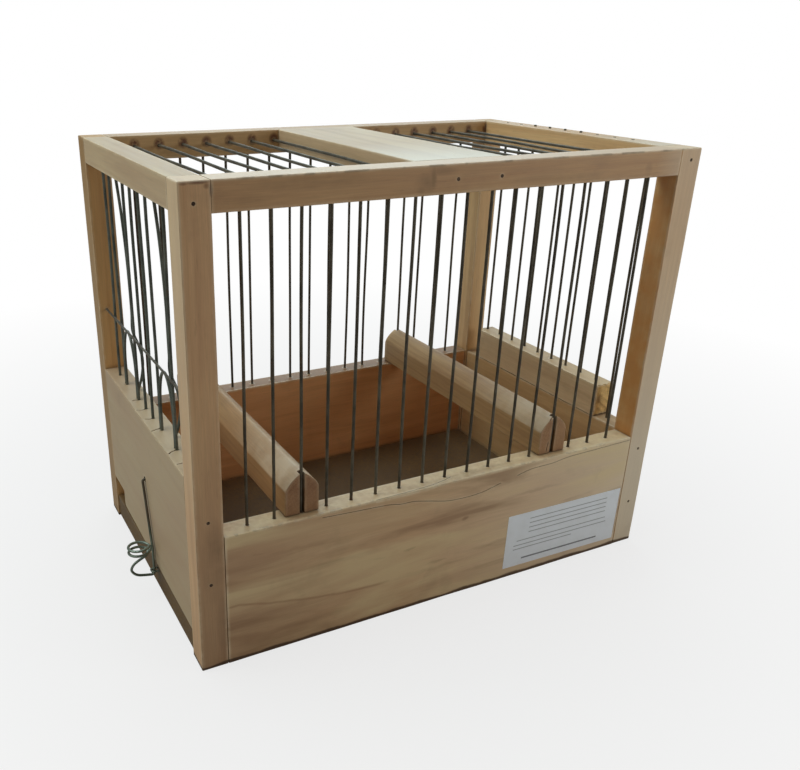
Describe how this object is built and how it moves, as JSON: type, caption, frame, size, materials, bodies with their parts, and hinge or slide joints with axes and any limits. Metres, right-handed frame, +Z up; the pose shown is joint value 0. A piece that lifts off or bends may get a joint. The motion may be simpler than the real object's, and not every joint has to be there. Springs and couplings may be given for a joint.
{
  "type": "songbird cage",
  "caption": "Small pine songbird cage with steel wire bars, sliding perches, feeder openings with guard wires, a pull-out tray held by a wire catch, and a lift-up end door.",
  "frame": {"origin": "middle of the base of the whole object's box, on the ground", "axes": "+X towards the door end, +Y towards the back, +Z up; the front with the label faces -Y and the tray end faces -X"},
  "size_m": [0.3016, 0.1802, 0.2412],
  "materials": {
    "pine": "bare planed softwood",
    "hardboard": "brown fibre board, smooth face up",
    "steel_wire": "bare grey wire, dull",
    "galvanised_wire": "dull galvanised wire",
    "nail_steel": "plain brads, flush heads",
    "paper": "blank white paper, matt"
  },
  "bodies": {
    "frame": {"front_left_post": "pine", "front_right_post": "pine", "back_left_post": "pine", "back_right_post": "pine", "front_top_rail": "pine", "back_top_rail": "pine", "left_top_rail": "pine", "right_top_rail": "pine", "top_centre_board": "pine", "front_board": "pine", "back_board": "pine", "left_end_board": "pine", "right_end_board": "pine", "front_wires": "steel_wire", "back_wires": "steel_wire", "top_left_wires": "steel_wire", "top_right_wires": "steel_wire", "left_end_wires": "steel_wire", "front_feeder_guard": "steel_wire", "rear_feeder_guard": "steel_wire", "front_feeder_hoop": "steel_wire", "rear_feeder_hoop": "steel_wire", "left_crossbar": "steel_wire", "door_side_wire": "steel_wire", "front_runner": "pine", "back_runner": "pine", "front_nails": "nail_steel", "back_nails": "nail_steel", "paper_label": "paper"},
    "tray": {"tray_floor": "hardboard", "tray_strip": "hardboard", "catch_staple": "galvanised_wire"},
    "catch": {"catch_wire": "galvanised_wire"},
    "door": {"door_bar": "pine", "door_wires": "steel_wire"},
    "left_perch_slider": {"left_perch": "pine"},
    "right_perch_slider": {"right_perch": "pine"}
  },
  "joints": [
    {"name": "tray_slide", "type": "slide", "parent": "frame", "child": "tray", "axis": [-1, 0, 0], "range_m": [0, 0.24]},
    {"name": "catch_spring", "type": "hinge", "parent": "tray", "child": "catch", "pos_m": [-0.13817, -0.01293, 0.0129], "axis": [0, -1, 0], "range_deg": [0, 9], "stiffness_Nm_per_rad": 0.3},
    {"name": "door_lift", "type": "slide", "parent": "frame", "child": "door", "axis": [0, 0, 1], "range_m": [0, 0.1308]},
    {"name": "left_perch_lift", "type": "slide", "parent": "frame", "child": "left_perch_slider", "axis": [0, 0, 1], "range_m": [0, 0.128]},
    {"name": "right_perch_lift", "type": "slide", "parent": "frame", "child": "right_perch_slider", "axis": [0, 0, 1], "range_m": [0, 0.128]}
  ]
}
